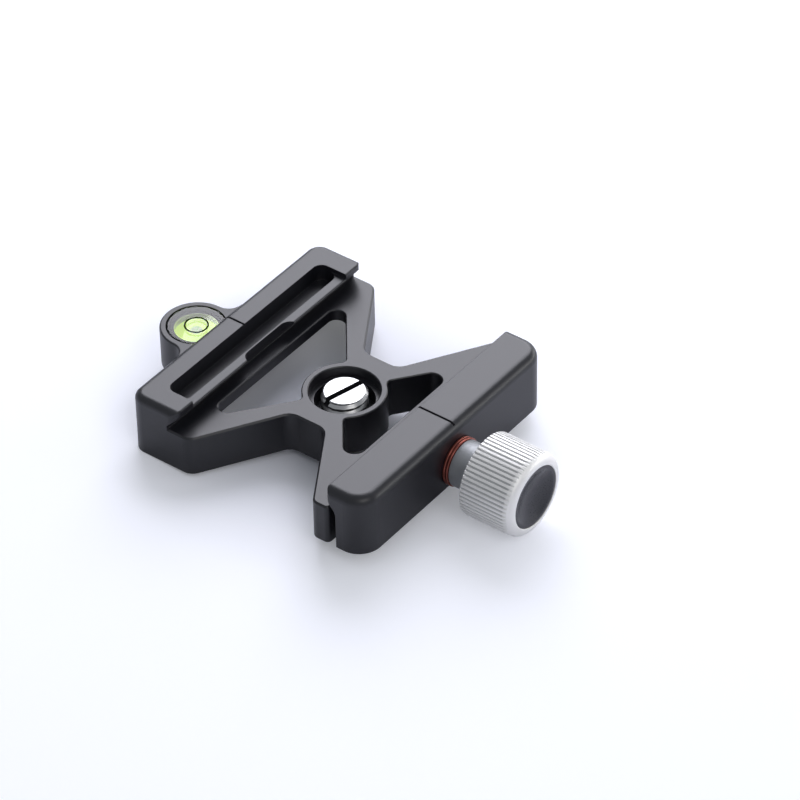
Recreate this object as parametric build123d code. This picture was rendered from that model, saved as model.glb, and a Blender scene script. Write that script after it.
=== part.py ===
from build123d import *
import math
import os

# Dovetail quick release clamp, in millimetres
# Origin: hub axis at the underside of the frame
# +X from the fixed jaw to the knob, +Y along the jaws, +Z up towards the camera plate

# Overall sizes
clamp_length = 60.0
jaw_height = 13.7
deck_height = 9.0
edge_chamfer = 0.35
dovetail_angle = 45.0

# Fixed jaw
fixed_outer = 30.1
fixed_nose = 18.3
fixed_nose_depth = 1.4
fixed_flank_reach = 2.4
fixed_corner_radius = 3.0
fixed_top_round = 1.5
fixed_nose_corner_radius = 2.0
fixed_nose_edge_round = 0.4

# Ledge, groove and notch in the top of the fixed jaw
ledge_drop = 1.1
groove_end_margin = 5.45
groove_outer = 25.1
groove_inner = 20.35
groove_depth = 3.8
groove_corner_radius = 2.0
groove_flank_wall = 1.1
notch_length = 15.3
notch_wall = 0.35
notch_corner_radius = 2.4

# Index lines
index_width = 0.5
index_depth = 0.3

# Moving jaw
moving_nose = 18.3
moving_outer = 27.6
moving_nose_depth = 2.6
moving_inner = 20.75
moving_undercut_round = 3.0
moving_corner_radius = 5.0
moving_nose_corner_radius = 1.4
moving_nose_edge_round = 0.2
moving_top_round = 2.0

# Beam, arms and windows of the frame
beam_outer = 18.95
beam_corner_radius = 1.0
valley_half_width = 11.85
valley_radius = 3.0
arm_root = 4.15
arm_tip_length = 3.71
fixed_arm_end_radius = 3.0
beam_arm_end_radius = 1.8
window_flare = 0.785
window_apex = 0.48
window_chamfer = 0.2
left_window_edge = 17.5
left_window_end_margin = 10.7
right_window_edge = 14.25
right_window_end_margin = 15.4
window_round_share = 0.97
hub_corner_radius = 1.2

# Pocket under the fixed jaw, open below and to the left window
pocket_lip = 2.6
pocket_wall = 5.1
pocket_inner_reach = 3.1
pocket_end_reach = 6.5
pocket_corner_radius = 2.0

# Hub
hub_radius = 8.55
well_radius = 7.2
well_depth = 2.4
well_step_radius = 6.15
hub_floor = 3.4
well_chamfer = 0.2

# Bush in the hub, 3/8 inch outside and 1/4 inch inside
bush_radius = 4.7625
bush_height = 8.8
bush_chamfer = 0.6
bush_slot_width = 1.3
bush_slot_depth = 1.5
bush_slot_angle = 75.0
tripod_thread_radius = 3.2
tripod_thread_length = 6.2

# Lug and bull's-eye level
lug_reach = 3.1
lug_y = -5.1
lug_radius = 7.4
lug_drop = 0.6
lug_bottom = 4.4
lug_blend_radius = 3.0
lug_edge_round = 0.35
vial_bore_radius = 6.15
vial_clearance = 0.15
vial_drop = 0.05
level_base_thickness = 1.2
level_base_inset = 0.2
cup_wall = 1.5
cup_floor = 3.2
lens_thickness = 1.3
lens_sag = 0.3
ring_radius = 2.5
ring_width = 0.33
ring_depth = 0.1
bubble_radius = 1.2
bubble_height = 0.6
bubble_shift_x = 0.5
bubble_shift_y = -0.6
bubble_gap = 0.05

# Clamping stud, stop screw, washers and knob
axis_height = 4.7
stud_radius = 3.0
stud_seat_depth = 4.0
stud_end = 38.2
stud_end_chamfer = 0.3
stop_head_radius = 3.9
stop_head_thickness = 1.6
stop_shank_radius = 1.5
stop_shank_length = 5.0
stop_socket_radius = 1.15
stop_socket_depth = 0.9
shaft_clearance = 0.1
thread_clearance = 0.06
washer_radius = 5.2
washer_thickness = 0.65
washer_edge = 0.15
neck_radius = 4.95
neck_chamfer = 0.25
neck_length = 5.45
knob_thread_length = 6.2
stop_pocket_radius = 4.15
grip_radius = 8.9
grip_length = 12.1
grip_back_chamfer = 0.35
grip_front_round = 2.0
flute_count = 58
flute_depth = 0.32
flute_share = 0.5
grip_wall = 2.2
cap_thickness = 2.2
cap_recess = 0.15
cap_rim_width = 0.7
dish_depth = 1.6

# Guide pins and return springs
pin_spacing = 39.0
pin_radius = 1.5
pin_seat_depth = 4.0
pin_reach = 4.4
pin_clearance = 0.06
pin_bore_depth = 6.1
pin_tip_chamfer = 0.25
spring_spacing = 25.0
spring_radius = 1.75
spring_wire_radius = 0.22
spring_turns = 5.5
spring_pocket_radius = 2.15
spring_seat_depth = 1.0
spring_pocket_depth = 4.4
spring_end_gap = 0.1

# Worked out from the sizes above
half_length = clamp_length / 2
arm_end = beam_outer - arm_tip_length
arm_slope = (half_length - valley_half_width) / (arm_end - arm_root)
window_slope = window_flare * arm_slope
left_window_half = half_length - left_window_end_margin
right_window_half = half_length - right_window_end_margin
undercut = math.tan(math.radians(dovetail_angle))
fixed_vertex = fixed_nose + fixed_flank_reach
fixed_flank_top = jaw_height - fixed_nose_depth
fixed_flank_end = fixed_flank_top - fixed_flank_reach / undercut
moving_undercut_end = jaw_height - moving_nose_depth - (moving_inner - moving_nose) / undercut
groove_half = half_length - groove_end_margin
well_floor = deck_height - well_depth
lug_x = -(fixed_outer + lug_reach)
lug_top = jaw_height - lug_drop
lens_top = lug_top - vial_drop
lens_bottom = lens_top - lens_thickness
level_base_bottom = lug_bottom + level_base_inset
cup_bottom = level_base_bottom + level_base_thickness
vial_radius = vial_bore_radius - vial_clearance
cavity_radius = vial_radius - cup_wall
neck_start = moving_outer + 2 * washer_thickness
grip_start = neck_start + neck_length
cap_radius = grip_radius - grip_wall
grip_end = grip_start + grip_length
cap_front = grip_end - cap_recess
cap_back = cap_front - cap_thickness
stud_start = beam_outer - stud_seat_depth
stop_shoulder = neck_start + knob_thread_length
pin_start = beam_outer - pin_seat_depth
pin_tip = moving_inner + pin_reach
spring_start = beam_outer - spring_seat_depth
spring_end = moving_inner + spring_pocket_depth - spring_end_gap


def profile_along_y(points):
    """A solid from an outline of (x, z) points, carried along Y over the whole clamp."""
    plane = Plane(origin=(0, half_length, 0), x_dir=(1, 0, 0), z_dir=(0, -1, 0))
    return extrude(plane * make_face(Polyline(*points, close=True)), amount=clamp_length)


def rod_along_x(radius, start, end, y=0.0):
    """A plain round rod at the height of the clamping axis, between two X positions."""
    plane = Plane(origin=(start, y, axis_height), x_dir=(0, 1, 0), z_dir=(1, 0, 0))
    return extrude(plane * Circle(radius), amount=end - start)


def turned_along_x(points):
    """A piece turned about the clamping axis, from an outline of (x, radius) points."""
    plane = Plane(origin=(0, 0, axis_height), x_dir=(1, 0, 0), z_dir=(0, -1, 0))
    outline = plane * make_face(Polyline(*points, close=True))
    return revolve(outline, axis=Axis((0, 0, axis_height), (1, 0, 0)), revolution_arc=360)


def block(x_range, y_range, z_range):
    """A rectangular block between two corners."""
    ranges = (x_range, y_range, z_range)
    size = [high - low for low, high in ranges]
    middle = [(high + low) / 2 for low, high in ranges]
    return Pos(*middle) * Box(*size)


def disc(radius, low, high, x=0.0, y=0.0):
    """An upright round disc between two heights."""
    return extrude(Plane(origin=(x, y, low)) * Circle(radius), amount=high - low)


def closed_by_mirror(points):
    """The face inside an outline whose points with positive y are given, mirrored at Y = 0."""
    mirrored = [(x, -y) for x, y in reversed(points) if y > 0]
    return make_face(Polyline(*points, *mirrored, close=True))


def corners_at(shape, x, y):
    """The two vertices of a mirrored outline that stand at x and at +y or -y."""
    tolerance = 0.01
    return [v for v in shape.vertices() if abs(v.X - x) < tolerance and abs(abs(v.Y) - y) < tolerance]


def jaw_pocket():
    """The pocket under the fixed jaw: it leaves a lip along the window's edge and round its two corners."""
    start = -(fixed_outer - pocket_wall)
    end = -(left_window_edge - pocket_inner_reach)
    plan = RectangleRounded(end - start, 2 * (left_window_half + pocket_end_reach), pocket_corner_radius)
    return extrude(Pos((start + end) / 2, 0) * plan, amount=deck_height - pocket_lip)


def arm_plan():
    """The plan of the frame beside the fixed jaw: arms, two valleys and the beam, with its corners rounded."""
    plan = closed_by_mirror([
        (-fixed_vertex, half_length),
        (-arm_end, half_length),
        (-arm_root, valley_half_width),
        (arm_root, valley_half_width),
        (arm_end, half_length),
        (beam_outer, half_length),
    ])
    plan = fillet(corners_at(plan, -arm_root, valley_half_width), valley_radius)
    plan = fillet(corners_at(plan, arm_root, valley_half_width), valley_radius)
    plan = fillet(corners_at(plan, -arm_end, half_length), fixed_arm_end_radius)
    plan = fillet(corners_at(plan, arm_end, half_length), beam_arm_end_radius)
    return fillet(corners_at(plan, beam_outer, half_length), beam_corner_radius)


def window_plan(side, edge, half):
    """A window of the frame: it narrows between two arms towards the hub and ends on its barrel."""
    shoulder = half / window_slope - window_apex
    radius = window_round_share * (edge - shoulder) / (1 + math.tan(math.atan(window_slope) / 2))
    plan = closed_by_mirror([(side * edge, half), (side * shoulder, half), (-side * window_apex, 0.0)])
    plan = fillet(corners_at(plan, side * edge, half), radius)
    plan = fillet(corners_at(plan, side * shoulder, half), radius)
    plan = (plan - Circle(hub_radius)).faces().sort_by(Axis.X)[-1 if side > 0 else 0]
    roots = [v for v in plan.vertices() if abs(math.hypot(v.X, v.Y) - hub_radius) < 0.01]
    return fillet(roots, hub_corner_radius)


def frame_slab():
    """The frame from the dovetail's corner to the beam, with its windows, chamfered along the deck."""
    slab = extrude(arm_plan(), amount=deck_height)
    rim = [e for e in slab.faces().sort_by(Axis.Z)[-1].edges() if e.center().X > -fixed_vertex + 0.01]
    slab = chamfer(rim, edge_chamfer)
    slab -= extrude(window_plan(-1, left_window_edge, left_window_half), amount=deck_height)
    slab -= extrude(window_plan(1, right_window_edge, right_window_half), amount=deck_height)
    windows = slab.faces().sort_by(Axis.Z)[-1].inner_wires()
    return chamfer(windows.edges(), window_chamfer)


def nose_bound(side, nose, corner_radius, edge_round):
    """A block that starts at a jaw's nose, with the nose's upright corners and top edge rounded."""
    back = side * 2 * fixed_outer
    bound = block(sorted((side * nose, back)), (-half_length, half_length), (0, jaw_height))
    corners = bound.edges().filter_by(Axis.Z).group_by(Axis.X)[0 if side > 0 else -1]
    bound = fillet(corners, corner_radius)
    rim = [e for e in bound.faces().sort_by(Axis.Z)[-1].edges() if abs(e.center().X - back) > 0.01]
    return fillet(rim, edge_round)


def fixed_jaw():
    """The fixed jaw with its dovetail nose, rounded along its outer and end edges."""
    jaw = profile_along_y([
        (-fixed_outer, 0),
        (-fixed_outer, jaw_height),
        (-fixed_nose, jaw_height),
        (-fixed_nose, fixed_flank_top),
        (-fixed_vertex, fixed_flank_end),
        (-fixed_vertex, 0),
    ])
    jaw = fillet(jaw.edges().filter_by(Axis.Z).group_by(Axis.X)[0], fixed_corner_radius)
    rim = [e for e in jaw.faces().sort_by(Axis.Z)[-1].edges() if e.center().X < -fixed_nose - 0.01]
    bound = nose_bound(-1, fixed_nose, fixed_nose_corner_radius, fixed_nose_edge_round)
    return fillet(rim, fixed_top_round) & bound


def jaw_groove():
    """The groove along the fixed jaw: its lower inner side runs beside the dovetail's flank."""
    plan = RectangleRounded(groove_outer - groove_inner, 2 * groove_half, groove_corner_radius)
    plane = Plane(origin=(-(groove_outer + groove_inner) / 2, 0, jaw_height - groove_depth))
    lean_top = fixed_flank_top - (groove_inner - fixed_nose - groove_flank_wall) / undercut
    lean_foot = groove_inner + (lean_top - deck_height) * undercut
    beside_flank = profile_along_y([
        (-lean_foot, deck_height),
        (-groove_inner, lean_top),
        (-fixed_nose, lean_top),
        (-fixed_nose, deck_height),
    ])
    return extrude(plane * plan, amount=groove_depth) - beside_flank


def jaw_top_cuts():
    """What is milled from the top of the fixed jaw: groove, ledge, notch in the nose, and index line."""
    inside_groove = -(groove_inner + groove_corner_radius)
    ledge = block((inside_groove, 0), (-groove_half, groove_half), (jaw_height - ledge_drop, jaw_height + 1))
    edge_x = -fixed_nose - fixed_nose_edge_round
    edge_z = jaw_height - ledge_drop - fixed_nose_edge_round
    edge = block((edge_x, 0), (-groove_half, groove_half), (edge_z, jaw_height))
    round_plane = Plane(origin=(edge_x, groove_half, edge_z), x_dir=(1, 0, 0), z_dir=(0, -1, 0))
    edge -= extrude(round_plane * Circle(fixed_nose_edge_round), amount=2 * groove_half)
    notch_back = -(groove_inner - notch_wall)
    notch_foot = deck_height + edge_chamfer
    notch = block((notch_back, 0), (-notch_length / 2, notch_length / 2), (notch_foot, jaw_height + 1))
    notch = fillet(notch.edges().filter_by(Axis.Z).group_by(Axis.X)[0], notch_corner_radius)
    line = block(
        (-fixed_outer - 1, -groove_outer + groove_corner_radius),
        (-index_width / 2, index_width / 2),
        (jaw_height - index_depth, jaw_height + 1),
    )
    return jaw_groove() + ledge + edge + notch + line


def level_lug():
    """The round lug outside the fixed jaw, blended into the jaw's face by two concave arcs."""
    spread = math.sqrt((lug_radius + lug_blend_radius) ** 2 - (lug_reach - lug_blend_radius) ** 2)
    blend_x = -fixed_outer - lug_blend_radius
    inside = -fixed_outer + fixed_top_round
    web = make_face(Polyline(
        (lug_x, lug_y),
        (blend_x, lug_y + spread),
        (inside, lug_y + spread),
        (inside, lug_y - spread),
        (blend_x, lug_y - spread),
        close=True,
    ))
    web -= Pos(blend_x, lug_y + spread) * Circle(lug_blend_radius)
    web -= Pos(blend_x, lug_y - spread) * Circle(lug_blend_radius)
    plan = web + Pos(lug_x, lug_y) * Circle(lug_radius)
    lug = extrude(Plane(origin=(0, 0, lug_bottom)) * plan, amount=lug_top - lug_bottom)
    rim = [e for e in lug.faces().sort_by(Axis.Z)[-1].edges() if e.center().X < -fixed_outer]
    return fillet(rim, lug_edge_round)


def body_frame():
    """The machined body: fixed jaw, X-shaped frame, hub with its well, beam and level lug."""
    body = fixed_jaw() + frame_slab() + level_lug()
    body -= jaw_top_cuts()
    body -= jaw_pocket()
    well = disc(well_radius, well_floor, deck_height) + disc(well_step_radius, hub_floor, well_floor)
    body -= well + disc(bush_radius, 0, hub_floor)
    mouth = body.edges().filter_by(GeomType.CIRCLE)
    mouth = [e for e in mouth if abs(e.radius - well_radius) < 0.01 and abs(e.center().Z - deck_height) < 0.01]
    body = chamfer(mouth, well_chamfer)
    body -= disc(vial_bore_radius, -1, lug_top, lug_x, lug_y)
    body -= rod_along_x(stud_radius, stud_start, beam_outer + 1)
    for side in (-1, 1):
        body -= rod_along_x(pin_radius, pin_start, beam_outer + 1, side * pin_spacing / 2)
        body -= rod_along_x(spring_pocket_radius, spring_start, beam_outer + 1, side * spring_spacing / 2)
    return body


def moving_jaw():
    """The moving jaw: dovetail nose over the beam, bores for stud and pins, pockets for the springs."""
    jaw = profile_along_y([
        (moving_nose, jaw_height),
        (moving_outer, jaw_height),
        (moving_outer, 0),
        (moving_inner, 0),
        (moving_inner, moving_undercut_end),
        (moving_nose, jaw_height - moving_nose_depth),
    ])
    concave = Vector(moving_inner, 0, moving_undercut_end)
    jaw = fillet([e for e in jaw.edges() if (e.center() - concave).length < 0.01], moving_undercut_round)
    jaw = fillet(jaw.edges().filter_by(Axis.Z).group_by(Axis.X)[-1], moving_corner_radius)
    rim = [e for e in jaw.faces().sort_by(Axis.Z)[-1].edges() if e.center().X > moving_nose + 0.01]
    jaw = fillet(rim, moving_top_round)
    jaw &= nose_bound(1, moving_nose, moving_nose_corner_radius, moving_nose_edge_round)
    jaw -= block((0, moving_outer + 1), (-index_width / 2, index_width / 2), (jaw_height - index_depth, jaw_height + 1))
    jaw -= rod_along_x(stud_radius + shaft_clearance, moving_inner - 1, moving_outer + 1)
    for side in (-1, 1):
        pin_y = side * pin_spacing / 2
        spring_y = side * spring_spacing / 2
        jaw -= rod_along_x(pin_radius + pin_clearance, moving_inner - 1, moving_inner + pin_bore_depth, pin_y)
        jaw -= rod_along_x(spring_pocket_radius, moving_inner - 1, moving_inner + spring_pocket_depth, spring_y)
    return jaw


def bush_screw():
    """The slotted bush in the hub, with the tripod's thread inside, open below."""
    bush = disc(bush_radius, 0, bush_height)
    bush = chamfer(bush.faces().sort_by(Axis.Z)[-1].edges(), bush_chamfer)
    slot = Box(4 * bush_radius, bush_slot_width, 2 * bush_slot_depth)
    bush -= Pos(0, 0, bush_height) * Rot(0, 0, bush_slot_angle) * slot
    return bush - disc(tripod_thread_radius, 0, tripod_thread_length)


def level_lens():
    """The clear lens of the level: flat above, with its ring, and hollowed below so that the bubble centres."""
    lens = disc(vial_radius, lens_bottom, lens_top, lug_x, lug_y)
    return lens - lens_hollow() - level_ring()


def lens_hollow():
    """The shallow spherical hollow under the lens, as wide as the cup's inside."""
    ball_radius = (cavity_radius ** 2 + lens_sag ** 2) / (2 * lens_sag)
    ball = Pos(lug_x, lug_y, lens_bottom + lens_sag - ball_radius) * Sphere(ball_radius)
    return ball & disc(cavity_radius, lens_bottom, lens_top, lug_x, lug_y)


def level_ring():
    """The printed ring in the top of the lens."""
    low = lens_top - ring_depth
    outside = disc(ring_radius, low, lens_top, lug_x, lug_y)
    return outside - disc(ring_radius - ring_width, low, lens_top, lug_x, lug_y)


def level_cup():
    """The clear cup that holds the liquid."""
    cup = disc(vial_radius, cup_bottom, lens_bottom, lug_x, lug_y)
    return cup - disc(cavity_radius, cup_bottom + cup_floor, lens_bottom, lug_x, lug_y)


def level_bubble():
    """The bubble, a flat ellipsoid just under the lens, towards one side of the ring."""
    squeeze = bubble_height / (2 * bubble_radius)
    middle = lens_bottom + lens_sag - bubble_gap - bubble_height / 2
    return Pos(lug_x + bubble_shift_x, lug_y + bubble_shift_y, middle) * scale(
        Sphere(bubble_radius), by=(1, 1, squeeze)
    )


def level_fluid():
    """The liquid: the inside of cup and lens without the bubble."""
    inside = disc(cavity_radius, cup_bottom + cup_floor, lens_bottom, lug_x, lug_y) + lens_hollow()
    return inside - level_bubble()


def clamp_stud():
    """The threaded stud, seated in the beam, with a hole for the stop screw in its free end."""
    stud = turned_along_x([
        (stud_start, 0),
        (stud_start, stud_radius - stud_end_chamfer),
        (stud_start + stud_end_chamfer, stud_radius),
        (stud_end - stud_end_chamfer, stud_radius),
        (stud_end, stud_radius - stud_end_chamfer),
        (stud_end, 0),
    ])
    return stud - rod_along_x(stop_shank_radius, stud_end - stop_shank_length, stud_end)


def stud_stop_screw():
    """The screw in the stud's end, whose head keeps the knob from running off."""
    head_end = stud_end + stop_head_thickness
    screw = rod_along_x(stop_head_radius, stud_end, head_end)
    screw += rod_along_x(stop_shank_radius, stud_end - stop_shank_length, stud_end)
    plane = Plane(origin=(head_end, 0, axis_height), x_dir=(0, 1, 0), z_dir=(1, 0, 0))
    return screw - extrude(plane * RegularPolygon(stop_socket_radius, 6), amount=-stop_socket_depth)


def thrust_washer(start):
    """One thrust washer between the jaw and the knob's neck."""
    end = start + washer_thickness
    inside = stud_radius + shaft_clearance
    return turned_along_x([
        (start, inside),
        (start, washer_radius - washer_edge),
        (start + washer_edge, washer_radius),
        (end - washer_edge, washer_radius),
        (end, washer_radius - washer_edge),
        (end, inside),
    ])


def knob_core():
    """The turned nut: neck, thread bore, and a pocket behind it for the stop screw's head."""
    bore = stud_radius + thread_clearance
    return turned_along_x([
        (neck_start, bore),
        (neck_start, neck_radius - neck_chamfer),
        (neck_start + neck_chamfer, neck_radius),
        (cap_back, neck_radius),
        (cap_back, stop_pocket_radius),
        (stop_shoulder, stop_pocket_radius),
        (stop_shoulder, bore),
    ])


def flute_prism():
    """A rod with straight flutes all round: arcs along the crests, and an arc that dips into each flute."""
    pitch = 2 * math.pi / flute_count
    half_flute = pitch * flute_share / 2
    arcs = []
    for index in range(flute_count):
        middle = index * pitch
        angles = (middle - half_flute, middle + half_flute, middle + pitch - half_flute)
        start, end, following = [(grip_radius * math.cos(a), grip_radius * math.sin(a)) for a in angles]
        dip = grip_radius - flute_depth
        crest = middle + pitch / 2
        arcs.append(ThreePointArc(start, (dip * math.cos(middle), dip * math.sin(middle)), end))
        arcs.append(ThreePointArc(end, (grip_radius * math.cos(crest), grip_radius * math.sin(crest)), following))
    plane = Plane(origin=(grip_start, 0, axis_height), x_dir=(0, 1, 0), z_dir=(1, 0, 0))
    return extrude(plane * make_face(arcs), amount=grip_length)


def knob_grip():
    """The fluted sleeve on the core, rounded in front, with a recess for the cap."""
    shell = turned_along_x([
        (grip_start, neck_radius),
        (grip_start, grip_radius - grip_back_chamfer),
        (grip_start + grip_back_chamfer, grip_radius),
        (grip_end, grip_radius),
        (grip_end, cap_radius),
        (cap_back, cap_radius),
        (cap_back, neck_radius),
    ])
    front = [e for e in shell.edges().filter_by(GeomType.CIRCLE) if abs(e.center().X - grip_end) < 0.01]
    shell = fillet([e for e in front if e.radius > cap_radius + 0.01], grip_front_round)
    return shell & flute_prism()


def knob_cap():
    """The cap in the end of the grip, dished inside a narrow rim."""
    cap = rod_along_x(cap_radius, cap_back, cap_front)
    dish_radius = cap_radius - cap_rim_width
    ball_radius = (dish_radius ** 2 + dish_depth ** 2) / (2 * dish_depth)
    return cap - Pos(cap_front - dish_depth + ball_radius, 0, axis_height) * Sphere(ball_radius)


def guide_pin(side):
    """A guide pin, seated in the beam and running in the jaw's bore."""
    pin = rod_along_x(pin_radius, pin_start, pin_tip, side * pin_spacing / 2)
    return chamfer(pin.faces().sort_by(Axis.X)[-1].edges(), pin_tip_chamfer)


def return_spring(side):
    """A compression spring between its seat in the beam and its pocket in the jaw."""
    rise = spring_end - spring_start - 2 * spring_wire_radius
    coil = Helix(pitch=rise / spring_turns, height=rise, radius=spring_radius)
    wire = sweep(Plane(origin=coil @ 0, z_dir=coil % 0) * Circle(spring_wire_radius), path=coil)
    start = spring_start + spring_wire_radius
    return Pos(start, side * spring_spacing / 2, axis_height) * Rot(0, 90, 0) * wire


pieces = {
    "body_frame": body_frame(),
    "moving_jaw": moving_jaw(),
    "bush_screw": bush_screw(),
    "level_base": disc(vial_bore_radius, level_base_bottom, cup_bottom, lug_x, lug_y),
    "level_cup": level_cup(),
    "level_lens": level_lens(),
    "level_ring": level_ring(),
    "level_fluid": level_fluid(),
    "level_bubble": level_bubble(),
    "clamp_stud": clamp_stud(),
    "stud_stop_screw": stud_stop_screw(),
    "thrust_washer_inner": thrust_washer(moving_outer),
    "thrust_washer_outer": thrust_washer(moving_outer + washer_thickness),
    "knob_core": knob_core(),
    "knob_grip": knob_grip(),
    "knob_cap": knob_cap(),
    "guide_pin_front": guide_pin(-1),
    "guide_pin_back": guide_pin(1),
    "return_spring_front": return_spring(-1),
    "return_spring_back": return_spring(1),
}

os.makedirs("parts", exist_ok=True)
for name, piece in pieces.items():
    export_step(piece, f"parts/{name}.step")
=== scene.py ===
import math

import bmesh
import bpy
import numpy as np
from bpy.props import FloatProperty, FloatVectorProperty, IntProperty, PointerProperty
from bpy.types import Operator, Panel, PropertyGroup
from mathutils import Matrix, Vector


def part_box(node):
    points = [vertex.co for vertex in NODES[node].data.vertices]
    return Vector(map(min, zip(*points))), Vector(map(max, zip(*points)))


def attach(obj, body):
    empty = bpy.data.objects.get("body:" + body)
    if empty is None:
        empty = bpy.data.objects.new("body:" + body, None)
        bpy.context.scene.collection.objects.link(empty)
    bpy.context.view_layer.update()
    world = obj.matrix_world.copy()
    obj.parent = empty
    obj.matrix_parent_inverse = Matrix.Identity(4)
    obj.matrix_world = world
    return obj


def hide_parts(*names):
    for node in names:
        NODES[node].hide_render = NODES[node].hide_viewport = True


bl_info = {
    "name": "Dovetail quick release clamp",
    "version": (1, 0, 0),
    "blender": (4, 5, 0),
    "location": "View3D > Sidebar > Clamp",
    "description": "Finishes the machined clamp: anodised body, fluted knob, washers, bush, level and studio",
    "category": "Object",
}

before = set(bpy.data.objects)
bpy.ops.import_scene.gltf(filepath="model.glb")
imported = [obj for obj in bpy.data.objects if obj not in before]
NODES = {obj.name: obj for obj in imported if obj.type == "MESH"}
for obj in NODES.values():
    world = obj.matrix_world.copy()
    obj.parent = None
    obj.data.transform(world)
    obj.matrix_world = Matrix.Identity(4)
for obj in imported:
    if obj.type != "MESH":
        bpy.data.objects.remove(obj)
MM = 0.001
TURN = 2.0 * math.pi
# The fixed jaw's outer face. The body's box can't give it, because the level's lug reaches past it.
FIXED_OUTER = -30.1 * MM
# The photograph's width and height in pixels, and the width of the camera's sensor in millimetres.
PICTURE = 800
SENSOR = 36
# The parts of a thread's pitch that its crest and its root take.
CREST = 0.16
ROOT = 0.14
# Faces that meet at more than this angle keep a sharp edge.
SHARP_ANGLE = math.radians(32)


def span(node):
    """The lowest and highest corners of a packed node, as two arrays."""
    low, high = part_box(node)
    return np.array(low), np.array(high)


def half_height(low, high):
    """The radius of a piece that lies along the clamping axis: half its box's height."""
    return float(high[2] - low[2]) / 2


def half_width(low, high):
    """The radius of a piece that stands upright: half its box's width."""
    return float(high[0] - low[0]) / 2


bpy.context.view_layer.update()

GRIP_LOW, GRIP_HIGH = span("knob_grip")
CORE_LOW, CORE_HIGH = span("knob_core")
CAP_LOW, CAP_HIGH = span("knob_cap")
STUD_LOW, STUD_HIGH = span("clamp_stud")
BUSH_HIGH = span("bush_screw")[1]
LENS_LOW, LENS_HIGH = span("level_lens")
CUP_LOW = span("level_cup")[0]
FLUID_LOW, FLUID_HIGH = span("level_fluid")
RING_LOW, RING_HIGH = span("level_ring")
BUBBLE_LOW, BUBBLE_HIGH = span("level_bubble")
JAW_LOW, JAW_HIGH = span("moving_jaw")
AXIS_HEIGHT = float(STUD_LOW[2] + STUD_HIGH[2]) / 2
LEVEL_MIDDLE = (LENS_LOW + LENS_HIGH) / 2
LEVEL_OUTSIDE = half_width(LENS_LOW, LENS_HIGH)
LEVEL_INSIDE = half_width(FLUID_LOW, FLUID_HIGH)
LENS_UNDER, LENS_TOP = float(LENS_LOW[2]), float(LENS_HIGH[2])
RING_OUTER = half_width(RING_LOW, RING_HIGH)
RING_INNER = RING_OUTER - 0.33 * MM
# How far the clear pieces of the level reach into each other.
LAP = 0.02 * MM


def colour(name, description, value):
    """A colour property with its name, its description and its default."""
    return FloatVectorProperty(
        name=name, description=description, default=value, size=3, min=0, max=1, subtype="COLOR"
    )


def length(name, description, value):
    """A length property in metres."""
    return FloatProperty(name=name, description=description, default=value, min=0, precision=5, unit="LENGTH")


def share(name, description, value):
    """A plain number from 0 to 1."""
    return FloatProperty(name=name, description=description, default=value, min=0, max=1)


def angle(name, description, degrees):
    """An angle property, given in degrees."""
    return FloatProperty(
        name=name, description=description, default=math.radians(degrees), subtype="ANGLE", unit="ROTATION"
    )


def power(name, description, value):
    """A lamp's power in watts."""
    return FloatProperty(name=name, description=description, default=value, min=0, unit="POWER")


def number(name, description, value):
    """A plain number of any size."""
    return FloatProperty(name=name, description=description, default=value)


class ClampBodyLook(PropertyGroup):
    """The anodised body and jaw."""

    anodised: colour("Anodised black", "Colour of the black anodised aluminium", (0.008, 0.008, 0.0115))
    roughness: share("Roughness", "Roughness of the anodised skin", 0.36)
    grain: length("Blasting grain", "Size of the fine grain that bead blasting leaves", 0.12 * MM)
    line_width: length("Index line width", "Width of the painted index lines", 0.5 * MM)
    line_paint: colour("Index line paint", "Colour of the paint in the index lines", (0.002, 0.002, 0.003))


class ClampKnobLook(PropertyGroup):
    """The fluted knob with its core, cap and washers."""

    silver: colour("Silver", "Colour of the silver anodised grip", (0.93, 0.92, 0.9))
    # Painted shade: the grip's colour deep in its flutes, darker than the silver.
    groove: colour("Flute shade", "Colour of the grip in the depth of its flutes", (0.52, 0.52, 0.53))
    gunmetal: colour("Gunmetal", "Colour of the turned core", (0.36, 0.37, 0.385))
    black: colour("Cap black", "Colour of the dished cap", (0.022, 0.022, 0.028))
    copper: colour("Copper", "Colour of the thrust washers", (0.34, 0.105, 0.08))
    flutes: IntProperty(
        name="Flutes", description="Number of flutes round the grip", default=58, min=12, max=120
    )
    flute_depth: length("Flute depth", "Depth of a flute", 0.32 * MM)
    flute_share: share("Flute share", "Share of the pitch that a flute takes", 0.46)
    front_round: length("Front round", "Radius of the grip's front edge", 2.0 * MM)
    dish_depth: length("Dish depth", "Depth of the cap's dish", 1.6 * MM)


class ClampMetalLook(PropertyGroup):
    """The bush, the stud, the pins and the springs."""

    chrome: colour("Chrome", "Colour of the bright bush", (0.5, 0.5, 0.5))
    shade: colour("Slot shade", "Painted shade in the bush's slot", (0.012, 0.012, 0.014))
    # Painted shade: the dark colour that fills the bush's slot.
    steel: colour("Steel", "Colour of the stud, screw, pins and springs", (0.55, 0.55, 0.56))
    bush_pitch: length("Bush pitch", "Pitch of the bush's outer thread", 1.5875 * MM)
    bush_depth: length("Bush thread depth", "Depth of the bush's outer thread", 0.62 * MM)
    slot_width: length("Slot width", "Width of the bush's slot", 1.3 * MM)
    slot_depth: length("Slot depth", "Depth of the bush's slot", 1.5 * MM)
    slot_angle: angle("Slot angle", "Direction of the slot", 75)
    stud_pitch: length("Stud pitch", "Pitch of the stud's thread", 1.0 * MM)
    stud_depth: length("Stud thread depth", "Depth of the stud's thread", 0.5 * MM)


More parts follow.
